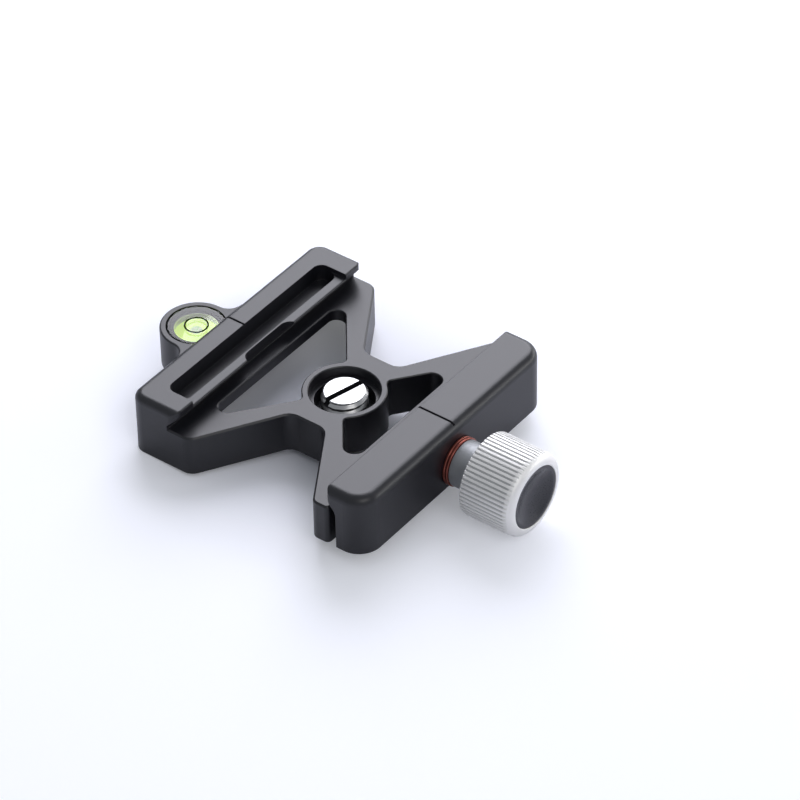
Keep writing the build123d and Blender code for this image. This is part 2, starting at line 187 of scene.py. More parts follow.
class ClampLevelLook(PropertyGroup):
    """The bull's-eye level."""

    # Painted light: the colour in which the cup's floor glows under the liquid.
    liquid: colour("Liquid", "Colour of the fluorescent liquid", (0.38, 0.53, 0.025))
    wall: colour("Cup wall", "Colour that shows through the cup's wall", (0.012, 0.014, 0.02))
    # Painted light: the bubble glows a little in this colour.
    bubble: colour("Bubble", "Colour of the bubble", (0.46, 0.66, 0.34))
    print_black: colour("Ring print", "Colour of the printed ring", (0.004, 0.01, 0.007))
    edge_round: length("Lens edge", "Radius of the lens's upper edge", 0.28 * MM)


class ClampStudio(PropertyGroup):
    """The camera, the lamps and the floor."""

    azimuth: angle("Azimuth", "Direction from the clamp to the camera, round the clamp", 37.706)
    elevation: angle("Elevation", "Height of the camera above the clamp", 39.881)
    roll: angle("Roll", "Turn of the camera", 1.137)
    distance: length("Distance", "Distance from the camera to the clamp's origin", 896.4 * MM)
    focal: number("Focal length", "Focal length in millimetres for a 36 mm wide sensor", 203.42)
    origin_across: number("Origin across", "Pixels from the picture's left edge to the clamp's origin", 345.617)
    origin_down: number("Origin down", "Pixels from the picture's top edge to the clamp's origin", 424.668)
    floor_slope: number("Floor slope", "Fall of the floor towards the knob", 0.065)
    floor_start: length("Floor start", "Distance from the origin to the edge that rests on the floor", -FIXED_OUTER)
    floor: colour("Floor", "Colour of the floor", (0.81, 0.82, 0.89))
    softbox: power("Softbox", "Power of the softbox behind", 3.3)
    softbox_tint: colour("Softbox tint", "Colour of the softbox's light", (0.92, 0.92, 1.0))
    horizon: power("Low softbox", "Power of the low softbox behind", 3.8)
    side: power("Side softbox", "Power of the low softbox beside the knob", 0.3)
    fill: power("Fill", "Power of the fill lamp in front", 2.7)
    fill_tint: colour("Fill tint", "Colour of the fill lamp's light", (1, 0.98, 0.97))
    world: number("Room", "Strength of the room's light", 0.42)


def rounded_profile(corners, radii, steps=6):
    """A profile through its corners, each replaced by an arc.

    An arc of radius r leaves each side at r / tan(half the corner's angle) from the corner, and its
    points are the centre plus r in directions that turn evenly from one side's normal to the other's.
    """
    corners = np.asarray(corners, float)
    parts = [corners[:1]]
    for before, corner, after, radius in zip(corners[:-2], corners[1:-1], corners[2:], radii):
        if radius <= 0:
            parts.append(corner[None])
            continue
        into = (before - corner) / np.linalg.norm(before - corner)
        out = (after - corner) / np.linalg.norm(after - corner)
        half = math.acos(np.clip(into @ out, -1, 1)) / 2
        bisector = (into + out) / np.linalg.norm(into + out)
        centre = corner + bisector * radius / math.sin(half)
        start = corner + into * radius / math.tan(half) - centre
        end = corner + out * radius / math.tan(half) - centre
        first = math.atan2(start[1], start[0])
        turn = (math.atan2(end[1], end[0]) - first + math.pi) % TURN - math.pi
        angles = first + turn * np.linspace(0, 1, steps + 1)
        parts.append(centre + radius * np.stack([np.cos(angles), np.sin(angles)], 1))
    parts.append(corners[-1:])
    return np.concatenate(parts)


def refined(profile, step):
    """The same profile with points no further apart than step, spaced evenly along each run."""
    runs = np.linalg.norm(np.diff(profile, axis=0), axis=1)
    counts = np.maximum(1, np.ceil(runs / step).astype(int))
    pieces = [np.linspace(a, b, n, endpoint=False) for a, b, n in zip(profile[:-1], profile[1:], counts)]
    return np.concatenate(pieces + [profile[-1:]])


def around_x(along, radius, angles):
    """Points of a surface turned about the clamping axis: (along, radius sin a, height + radius cos a)."""
    along, radius, angles = np.broadcast_arrays(along, radius, angles)
    return np.stack([along, radius * np.sin(angles), AXIS_HEIGHT + radius * np.cos(angles)], -1)


def around_z(height, radius, angles, middle=(0.0, 0.0)):
    """Points of a surface turned about an upright axis: (x + radius cos a, y + radius sin a, height)."""
    height, radius, angles = np.broadcast_arrays(height, radius, angles)
    return np.stack([middle[0] + radius * np.cos(angles), middle[1] + radius * np.sin(angles), height], -1)


def thread_dip(turns):
    """How deep a thread is at a phase counted in turns: 0 along the crest, 1 along the root, straight flanks."""
    phase = np.abs((turns % 1.0) * 2 - 1)
    return np.clip((1 - CREST - phase) / (1 - CREST - ROOT), 0, 1)


def surface(name, points, close_rows=False):
    """A closed piece from a grid of points: each face joins a point with the next along both ways.

    The columns run round the piece and always close. Poles are merged, and the faces turned outwards.
    """
    rows, columns = points.shape[:2]
    index = np.arange(rows * columns).reshape(rows, columns)
    index = np.concatenate([index, index[:, :1]], axis=1)
    if close_rows:
        index = np.concatenate([index, index[:1]], axis=0)
    quads = np.stack([index[:-1, :-1], index[1:, :-1], index[1:, 1:], index[:-1, 1:]], -1).reshape(-1, 4)
    mesh = bpy.data.meshes.new(name)
    mesh.from_pydata(points.reshape(-1, 3).tolist(), [], quads.tolist())
    tidy_mesh(mesh)
    piece = bpy.data.objects.new(name, mesh)
    bpy.context.scene.collection.objects.link(piece)
    return piece


def tidy_mesh(mesh):
    """Merges doubled points, turns the faces outwards and shades all smooth but the sharp edges."""
    work = bmesh.new()
    work.from_mesh(mesh)
    bmesh.ops.remove_doubles(work, verts=work.verts, dist=1e-6)
    bmesh.ops.recalc_face_normals(work, faces=work.faces)
    work.to_mesh(mesh)
    work.free()
    mesh.shade_smooth()
    mesh.set_sharp_from_angle(angle=SHARP_ANGLE)


def finish_piece(piece, material, body, slot, *nodes):
    """Gives a piece its material and its body, and hides the nodes that it stands for. The slot is not used."""
    piece.data.materials.clear()
    piece.data.materials.append(material)
    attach(piece, body)
    if nodes:
        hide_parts(*nodes)
    return piece


def face_middles(mesh):
    """The middles of a mesh's faces, as arrays of x, y and z."""
    middles = np.empty(len(mesh.polygons) * 3)
    mesh.polygons.foreach_get("center", middles)
    return middles.reshape(-1, 3).T


def dress(node, material):
    """Gives a packed node a material and leaves its shape alone."""
    mesh = NODES[node].data
    mesh.materials.clear()
    mesh.materials.append(material)


class Shader:
    """A node material: each call adds a node and returns its output, for the next call to use."""

    def __init__(self, name, **sockets):
        self.material = bpy.data.materials.new(name)
        self.material.use_nodes = True
        self.tree = self.material.node_tree
        self.base = self.tree.nodes["Principled BSDF"]
        self.base.location = (0, 0)
        for socket, value in sockets.items():
            self.set(socket, value)
        self.place = self.add("ShaderNodeTexCoord").outputs["Object"]

    def set(self, socket, value):
        """Sets a constant on the shader's own socket, or links an output to it."""
        target = self.base.inputs[socket.replace("_", " ")]
        if isinstance(value, bpy.types.NodeSocket):
            self.tree.links.new(value, target)
        elif target.type == "RGBA":
            target.default_value = (*value, 1.0)
        else:
            target.default_value = value

    def add(self, kind, **inputs):
        """Adds a node, with its inputs set or linked by name."""
        node = self.tree.nodes.new(kind)
        node.location = (-220 * (len(self.tree.nodes) - 1), -120 * (len(self.tree.nodes) % 5))
        for name, value in inputs.items():
            target = node.inputs[name.replace("_", " ")]
            if isinstance(value, bpy.types.NodeSocket):
                self.tree.links.new(value, target)
            else:
                target.default_value = value
        return node

    def noise(self, size, detail=2.0, stretch=(1, 1, 1)):
        """Noise whose grains are about as large as size, stretched along an axis by its factor."""
        mapping = self.add("ShaderNodeMapping", Vector=self.place, Scale=[1 / value for value in stretch])
        place = mapping.outputs["Vector"]
        return self.add("ShaderNodeTexNoise", Vector=place, Scale=1 / size, Detail=detail).outputs["Fac"]

    def spread(self, value, low, high):
        """A value from 0.35 to 0.65 spread over the range from low to high."""
        node = self.add("ShaderNodeMapRange", Value=value)
        for name, limit in (("From Min", 0.35), ("From Max", 0.65), ("To Min", low), ("To Max", high)):
            node.inputs[name].default_value = limit
        return node.outputs["Result"]

    def tint(self, value, first, second):
        """A colour between first and second, by value."""
        node = self.tree.nodes.new("ShaderNodeMix")
        node.data_type = "RGBA"
        self.tree.links.new(value, node.inputs[0])
        for socket, shade in ((node.inputs[6], first), (node.inputs[7], second)):
            if isinstance(shade, bpy.types.NodeSocket):
                self.tree.links.new(shade, socket)
            else:
                socket.default_value = (*shade, 1)
        return node.outputs[2]

    def join(self, operation, first, second):
        """Two values joined by a math operation."""
        node = self.tree.nodes.new("ShaderNodeMath")
        node.operation = operation
        self.tree.links.new(first, node.inputs[0])
        self.tree.links.new(second, node.inputs[1])
        return node.outputs[0]

    def bump(self, height, depth, strength, edge=0.0):
        """Bumps of the given depth in metres, on edges softened over the given radius."""
        node = self.add("ShaderNodeBump", Height=height, Distance=depth, Strength=strength)
        if edge:
            soft = self.tree.nodes.new("ShaderNodeBevel")
            soft.samples = 4
            soft.inputs["Radius"].default_value = edge
            self.tree.links.new(soft.outputs["Normal"], node.inputs["Normal"])
        self.set("Normal", node.outputs["Normal"])


def scaled(value, factor):
    """A colour made lighter or darker by a factor."""
    return tuple(min(1.0, channel * factor) for channel in value)


def anodised_black(look):
    """Bead-blasted black anodised aluminium: a fine grain, with slow changes of shade and gloss."""
    shader = Shader("black_anodised_satin", Metallic=0.0, IOR=1.55)
    base = tuple(look.anodised)
    grain = shader.noise(look.grain, 3)
    slow = shader.noise(9 * MM, 2)
    shader.set("Base Color", shader.tint(slow, scaled(base, 0.88), scaled(base, 1.15)))
    shader.set("Roughness", shader.spread(grain, look.roughness - 0.03, look.roughness + 0.04))
    shader.bump(grain, 0.004 * MM, 0.5, 0.14 * MM)
    return shader.material


def silver_satin(look):
    """Silver anodised aluminium: grain drawn along the clamping axis, a soft gloss, and painted shade deep in the
    flutes.
    """
    shader = Shader("silver_anodised_satin", Metallic=0.55)
    base = tuple(look.silver)
    fine = shader.noise(0.16 * MM, 3, (6, 1, 1))
    slow = shader.noise(5 * MM, 2)
    # Painted shade: the base colour darkens towards the flute shade where the stored flute depth is high.
    depth = shader.tree.nodes.new("ShaderNodeAttribute")
    depth.attribute_name = "flute_depth"
    clean = shader.tint(slow, scaled(base, 0.97), scaled(base, 1.03))
    shader.set("Base Color", shader.tint(depth.outputs["Fac"], clean, tuple(look.groove)))
    shader.set("Roughness", shader.spread(fine, 0.42, 0.52))
    shader.bump(fine, 0.003 * MM, 0.5)
    return shader.material


def turned_metal(name, base, rough, metallic=1.0, rings=0.11 * MM):
    """Metal turned in a lathe: fine rings across the clamping axis, in gloss, shade and height."""
    shader = Shader(name, Metallic=metallic)
    ring = shader.noise(rings, 2, (1, 60, 60))
    slow = shader.noise(3 * MM, 2)
    shader.set("Base Color", shader.tint(slow, scaled(base, 0.92), scaled(base, 1.08)))
    shader.set("Roughness", shader.spread(ring, rough * 0.85, rough * 1.2))
    shader.bump(ring, 0.002 * MM, 0.5, 0.04 * MM)
    return shader.material


def faced_metal(name, base, rough):
    """Bright metal faced in a lathe: rings round the upright axis, and the faint unevenness of plating.

    The rings are noise of the distance from that axis, which is the length of (x, y, 0).
    """
    shader = Shader(name, Metallic=1.0)
    cloud = shader.noise(0.8 * MM, 3)
    apart = shader.tree.nodes.new("ShaderNodeSeparateXYZ")
    shader.tree.links.new(shader.place, apart.inputs[0])
    flat = shader.tree.nodes.new("ShaderNodeCombineXYZ")
    shader.tree.links.new(apart.outputs["X"], flat.inputs["X"])
    shader.tree.links.new(apart.outputs["Y"], flat.inputs["Y"])
    reach = shader.tree.nodes.new("ShaderNodeVectorMath")
    reach.operation = "LENGTH"
    shader.tree.links.new(flat.outputs["Vector"], reach.inputs[0])
    rings = shader.add("ShaderNodeTexNoise", Vector=reach.outputs["Value"], Scale=1 / (0.2 * MM), Detail=1.0)
    ring = rings.outputs["Fac"]
    shader.set("Base Color", shader.tint(cloud, scaled(base, 0.95), scaled(base, 1.03)))
    shader.set("Roughness", shader.spread(ring, rough * 0.7, rough * 1.3))
    shader.bump(ring, 0.004 * MM, 0.5)
    return shader.material


def matt_paint_and_shade(name, base):
    """Dull dark paint that returns hardly any gloss; in the bush's slot it is painted shade."""
    shader = Shader(name, Specular_IOR_Level=0.1)
    grain = shader.noise(0.1 * MM, 2)
    shader.set("Base Color", shader.tint(grain, scaled(base, 0.8), scaled(base, 1.2)))
    shader.set("Roughness", shader.spread(grain, 0.8, 0.95))
    return shader.material


def satin_plastic(name, base, rough):
    """Moulded plastic with a fine, even grain."""
    shader = Shader(name, IOR=1.5)
    grain = shader.noise(0.18 * MM, 2)
    slow = shader.noise(4 * MM, 2)
    shader.set("Base Color", shader.tint(slow, scaled(base, 0.9), scaled(base, 1.1)))
    shader.set("Roughness", shader.spread(grain, rough - 0.03, rough + 0.04))
    shader.bump(grain, 0.004 * MM, 0.4)
    return shader.material


def clear_acrylic(name, base):
    """Clear acrylic or liquid, with a trace of cloud in its gloss."""
    shader = Shader(name, IOR=1.46, Transmission_Weight=1.0)
    cloud = shader.noise(1.5 * MM, 2)
    shader.set("Base Color", shader.tint(cloud, scaled(base, 0.98), base))
    shader.set("Roughness", shader.spread(cloud, 0.01, 0.03))
    return shader.material


def glowing(name, base, glow):
    """A colour lit like a matt surface, with a painted glow of its own."""
    shader = Shader(name, Roughness=0.5, Emission_Strength=glow)
    cloud = shader.noise(2.5 * MM, 2)
    shade = shader.tint(cloud, scaled(base, 0.92), scaled(base, 1.06))
    shader.set("Base Color", shade)
    shader.set("Emission Color", shade)
    return shader.material


class CLAMP_OT_body(Operator):
    """Finishes the machined body and the moving jaw, and fills their index lines with paint"""

    bl_idname = "clamp.body"
    bl_label = "Body and jaws"

    def execute(self, context):
        look = context.scene.clamp_body
        skin = anodised_black(look)
        dress("body_frame", skin)
        dress("moving_jaw", skin)
        paint = matt_paint_and_shade("index_line_paint", tuple(look.line_paint))
        self.line("index_line_fixed", look, paint, "frame", -25.1 * MM, FIXED_OUTER, 1.5 * MM, 0.36 * MM)
        self.line("index_line_moving", look, paint, "jaw", JAW_LOW[0] + 0.02 * MM, JAW_HIGH[0], 2.0 * MM, 0.65 * MM)
        return {"FINISHED"}

    def line(self, name, look, paint, body, start, outer, radius, short):
        """A strip of paint in its groove, from start to a little short of the jaw's outer face.

        It is level as far as the rim's round, and then follows it: height = sqrt(radius squared - past squared).
        It lies a little under the jaw's top, and rises to the surface where the groove runs out on the rim.
        """
        outward = math.copysign(1, outer)
        rim = outer - outward * radius
        along = np.linspace(start, outer - outward * short, 60)
        past = np.clip((along - rim) * outward, 0, radius)
        top = JAW_HIGH[2] - radius + np.sqrt(radius**2 - past**2)
        level = np.interp(past, [0, 0.5 * radius], [-0.07 * MM, 0.012 * MM])
        half, thick = look.line_width / 2 - 0.01 * MM, 0.12 * MM
        across = np.array([-half, half, half, -half])
        drop = np.array([0, 0, thick, thick])
        points = np.stack(np.broadcast_arrays(along[:, None], across[None], (top + level)[:, None] - drop[None]), -1)
        middle = points.mean(axis=1, keepdims=True)
        first, last = np.repeat(middle[:1], 4, axis=1), np.repeat(middle[-1:], 4, axis=1)
        piece = surface(name, np.concatenate([first, points, last]))
        finish_piece(piece, paint, body, "ring_print")


class CLAMP_OT_knob(Operator):
    """Builds the fluted grip, the turned core with its neck, and the dished cap"""

    bl_idname = "clamp.knob"
    bl_label = "Knob"

    def execute(self, context):
        look = context.scene.clamp_knob
        self.grip(look)
        self.core(look)
        self.cap(look)
        return {"FINISHED"}

    def grip(self, look):
        """The fluted sleeve, with the cap's recess in front and the core's bore behind.

        Its radius is the smaller of its rounded outline and of the fluted rod's: outside radius less
        depth times sqrt(1 - place squared), where place runs from -1 to 1 across the flute.
        """
        outside = half_height(GRIP_LOW, GRIP_HIGH)
        recess = half_height(CAP_LOW, CAP_HIGH) + 0.02 * MM
        neck = half_height(CORE_LOW, CORE_HIGH) + 0.01 * MM
        back, front, floor = float(GRIP_LOW[0]), float(GRIP_HIGH[0]), float(CAP_LOW[0])
        corners = [
            (floor, neck), (back, neck), (back, outside), (front, outside),
            (front, recess), (floor, recess), (floor, neck),
        ]
        radii = [0.15 * MM, 0.35 * MM, look.front_round, 0.12 * MM, 0]
        profile = refined(rounded_profile(corners, radii, 9), 1.2 * MM)[:-1]
        steps_per_flute = 18
        angles = np.linspace(0, TURN, look.flutes * steps_per_flute, endpoint=False)
        phase = (angles * look.flutes / TURN + 0.5) % 1.0 - 0.5
        dip = np.sqrt(np.clip(1 - (2 * phase / look.flute_share) ** 2, 0, 1))
        fluted = outside - look.flute_depth * dip
        radius = np.minimum(profile[:, 1:2], fluted[None])
        piece = surface("knob_grip_fluted", around_x(profile[:, :1], radius, angles[None]), close_rows=True)
        self.mark_flute_shade(piece.data, look, outside, front)
        finish_piece(piece, silver_satin(look), "knob", "silver_aluminium", "knob_grip")

    def mark_flute_shade(self, mesh, look, outside, front):
        """Stores how deep each point lies in a flute: (outside - radius) / depth, fading before the front round. The
        grip's material paints shade by it.
        """
        places = np.empty(len(mesh.vertices) * 3)
        mesh.vertices.foreach_get("co", places)
        x, y, z = places.reshape(-1, 3).T
        radius = np.hypot(y, z - AXIS_HEIGHT)
        depth = np.clip((outside - radius) / look.flute_depth, 0, 1)
        fade_length = 0.4 * MM
        fade = np.clip((front - look.front_round + fade_length - x) / fade_length, 0, 1)
        on_rim = radius > outside - 1.2 * look.flute_depth
        mesh.attributes.new("flute_depth", "FLOAT", "POINT").data.foreach_set("value", depth * fade * on_rim)

    def core(self, look):
        """The core: a profile of (along, radius) turned about the clamping axis.

        It starts a hundredth of a millimetre from the washer, so that the faces that rub don't cross as it turns.
        Inside are the bore that runs on the stud and the pocket round the stop screw's head.
        """
        radius = half_height(CORE_LOW, CORE_HIGH)
        start, end = float(CORE_LOW[0]) + 0.01 * MM, float(CORE_HIGH[0])
        bore, pocket, shoulder = 3.06 * MM, 4.15 * MM, start + 6.2 * MM
        corners = [
            (shoulder, bore), (start, bore), (start, radius), (end, radius),
            (end, pocket), (shoulder, pocket), (shoulder, bore),
        ]
        radii = [0.25 * MM, 0.3 * MM, 0.1 * MM, 0.1 * MM, 0]
        profile = refined(rounded_profile(corners, radii), 0.8 * MM)[:-1]
        angles = np.linspace(0, TURN, 128, endpoint=False)
        points = around_x(profile[:, :1], profile[:, 1:2], angles[None])
        piece = surface("knob_core_turned", points, close_rows=True)
        gunmetal = turned_metal("gunmetal_turned", tuple(look.gunmetal), rough=0.5, metallic=0.6)
        finish_piece(piece, gunmetal, "knob", "gunmetal", "knob_core")

    def cap(self, look):
        """The cap: a soft edge, a flat rim, and a dish that is depth (1 - (radius / dish radius) squared) deep."""
        radius = half_height(CAP_LOW, CAP_HIGH)
        back, front = float(CAP_LOW[0]), float(CAP_HIGH[0])
        dish = radius - 0.7 * MM
        inward = np.linspace(1, 0, 24)
        bowl = np.stack([front - look.dish_depth * (1 - inward**2), dish * inward], 1)
        edge = rounded_profile([(back, 0), (back, radius), (front, radius), (front, dish)], [0.05 * MM, 0.18 * MM])
        profile = np.concatenate([edge[:-1], bowl])
        angles = np.linspace(0, TURN, 128, endpoint=False)
        piece = surface("knob_cap_dished", around_x(profile[:, :1], profile[:, 1:2], angles[None]))
        black = satin_plastic("cap_black", tuple(look.black), rough=0.3)
        finish_piece(piece, black, "knob", "black_plastic", "knob_cap")


class CLAMP_OT_washers(Operator):
    """Builds the two copper thrust washers with their rounded rims"""

    bl_idname = "clamp.washers"
    bl_label = "Thrust washers"

    def execute(self, context):
        look = context.scene.clamp_knob
        copper = turned_metal("copper_washer_satin", tuple(look.copper), rough=0.3, rings=0.09 * MM)
        for node in ("thrust_washer_inner", "thrust_washer_outer"):
            self.washer(node, copper)
        return {"FINISHED"}

    def washer(self, node, copper):
        """A washer: its section, a box with rounded corners in (along, radius), turned about the clamping axis."""
        low, high = span(node)
        start, end = float(low[0]), float(high[0])
        middle, radius, bore = (start + end) / 2, half_height(low, high), 3.1 * MM
        corners = [(middle, bore), (start, bore), (start, radius), (end, radius), (end, bore), (middle, bore)]
        profile = rounded_profile(corners, [0.06 * MM, 0.2 * MM, 0.2 * MM, 0.06 * MM], 5)[:-1]
        angles = np.linspace(0, TURN, 128, endpoint=False)
        points = around_x(profile[:, :1], profile[:, 1:2], angles[None])
        finish_piece(surface(node + "_rounded", points, close_rows=True), copper, "jaw", "copper_washer", node)


class CLAMP_OT_bush(Operator):
    """Builds the bright bush with its outer thread, the slot across its top and the thread inside"""

    bl_idname = "clamp.bush"
    bl_label = "Bush"

    def execute(self, context):
        look = context.scene.clamp_metal
        top = float(BUSH_HIGH[2])
        piece = surface("bush_threaded", self.threaded(look, top))
        self.cut_slot(piece, look, top)
        bright = faced_metal("chrome_bright", tuple(look.chrome), rough=0.3)
        finish_piece(piece, bright, "frame", "bright_bush", "bush_screw")
        # Painted shade: the slot's faces get the dark slot colour.
        piece.data.materials.append(matt_paint_and_shade("slot_shade", tuple(look.shade)))
        x, y, z = face_middles(piece.data)
        beside = np.abs(y * math.cos(look.slot_angle) - x * math.sin(look.slot_angle))
        between = (z < top - 0.02 * MM) & (z > top - look.slot_depth - 0.02 * MM)
        slot_shade_faces = between & (beside < look.slot_width / 2 + 0.01 * MM)
        piece.data.polygons.foreach_set("material_index", slot_shade_faces.astype(np.int32))
        return {"FINISHED"}

    def threaded(self, look, top):
        """The bush's points: a profile of (height, radius) turned about the upright axis, with both threads.

        Outside, radius = bush radius - depth times the dip at (height / pitch - angle / turn). Inside, the
        thread stands proud of the hole: radius = hole - depth (1 - dip), at the same kind of phase.
        """
        radius, chamfer = float(BUSH_HIGH[0]), 0.6 * MM
        hole, hole_top, hole_pitch, hole_depth = 3.2 * MM, 6.2 * MM, 1.27 * MM, 0.4 * MM
        corners = [
            (hole_top, 0), (hole_top, hole), (0, hole), (0, radius), (top - chamfer, radius), (top, radius - chamfer),
            (top, 0),
        ]
        rounds = [0.1 * MM, 0.1 * MM, 0.3 * MM, 0.15 * MM, 0.12 * MM]
        profile = refined(rounded_profile(corners, rounds, 4), 0.11 * MM)
        angles = np.linspace(0, TURN, 120, endpoint=False)[None]
        heights, radii = profile[:, :1], profile[:, 1:2]
        outer = radius - look.bush_depth * thread_dip(heights / look.bush_pitch - angles / TURN)
        inner = hole - hole_depth * (1 - thread_dip(heights / hole_pitch - angles / TURN))
        is_hole = np.abs(radii - hole) < 0.02 * MM
        outside = np.where(radii > hole + 0.3 * MM, outer, radii)
        return around_z(heights, np.where(is_hole, inner, np.minimum(radii, outside)), angles)

    def cut_slot(self, piece, look, top):
        """Cuts the slot with a block: its corners are plus and minus half its sizes, turned by the slot's angle."""
        signs = np.array([(x, y, z) for x in (-1, 1) for y in (-1, 1) for z in (-1, 1)], float)
        past_bush = 8 * MM
        block = signs * (past_bush, look.slot_width / 2, look.slot_depth)
        cosine, sine = math.cos(look.slot_angle), math.sin(look.slot_angle)
        turned = np.stack([
            block[:, 0] * cosine - block[:, 1] * sine, block[:, 0] * sine + block[:, 1] * cosine, block[:, 2] + top
        ], 1)
        faces = [(0, 1, 3, 2), (4, 6, 7, 5), (0, 4, 5, 1), (2, 3, 7, 6), (0, 2, 6, 4), (1, 5, 7, 3)]
        mesh = bpy.data.meshes.new("slot_cutter")
        mesh.from_pydata(turned.tolist(), [], faces)
        cutter = bpy.data.objects.new("slot_cutter", mesh)
        bpy.context.scene.collection.objects.link(cutter)
        cut = piece.modifiers.new("slot", "BOOLEAN")
        cut.object = cutter
        cut.operation = "DIFFERENCE"
        cut.solver = "EXACT"
        graph = bpy.context.evaluated_depsgraph_get()
        result = bpy.data.meshes.new_from_object(piece.evaluated_get(graph))
        piece.modifiers.clear()
        piece.data = result
        tidy_mesh(result)
        bpy.data.objects.remove(cutter)
        bpy.data.meshes.remove(mesh)


class CLAMP_OT_stud(Operator):
    """Builds the threaded stud and finishes the stop screw, the guide pins and the return springs"""

    bl_idname = "clamp.stud"
    bl_label = "Stud, pins and springs"

    def execute(self, context):
        look = context.scene.clamp_metal
        steel = turned_metal("steel_turned", tuple(look.steel), rough=0.28)
        finish_piece(surface("clamp_stud_threaded", self.threaded(look)), steel, "frame", "steel", "clamp_stud")
        dress("stud_stop_screw", steel)
        for side in ("front", "back"):
            dress("guide_pin_" + side, steel)
            dress("return_spring_" + side, steel)
        return {"FINISHED"}

    def threaded(self, look):
        """The stud's points: a profile of (along, radius) turned about the clamping axis.

        Its radius is less by depth times the dip at (along / pitch - angle / turn), and the thread grows from
        nothing past the plain end that sits in the beam.
        """
        start, end = float(STUD_LOW[0]), float(STUD_HIGH[0])
        radius, hole, hole_end = float(STUD_HIGH[1]), 1.5 * MM, end - 5 * MM
        plain, growth = 3.4 * MM, 0.6 * MM
        corners = [(start, 0), (start, radius), (end, radius), (end, hole), (hole_end, hole), (hole_end, 0)]
        profile = refined(rounded_profile(corners, [0.3 * MM, 0.3 * MM, 0, 0], 4), 0.1 * MM)
        angles = np.linspace(0, TURN, 48, endpoint=False)[None]
        along, radii = profile[:, :1], profile[:, 1:2]
        grown = np.clip((along - start - plain) / growth, 0, 1)
        thread = radius - look.stud_depth * grown * thread_dip(along / look.stud_pitch - angles / TURN)
        return around_x(along, np.where(radii > hole + 0.6 * MM, np.minimum(radii, thread), radii), angles)


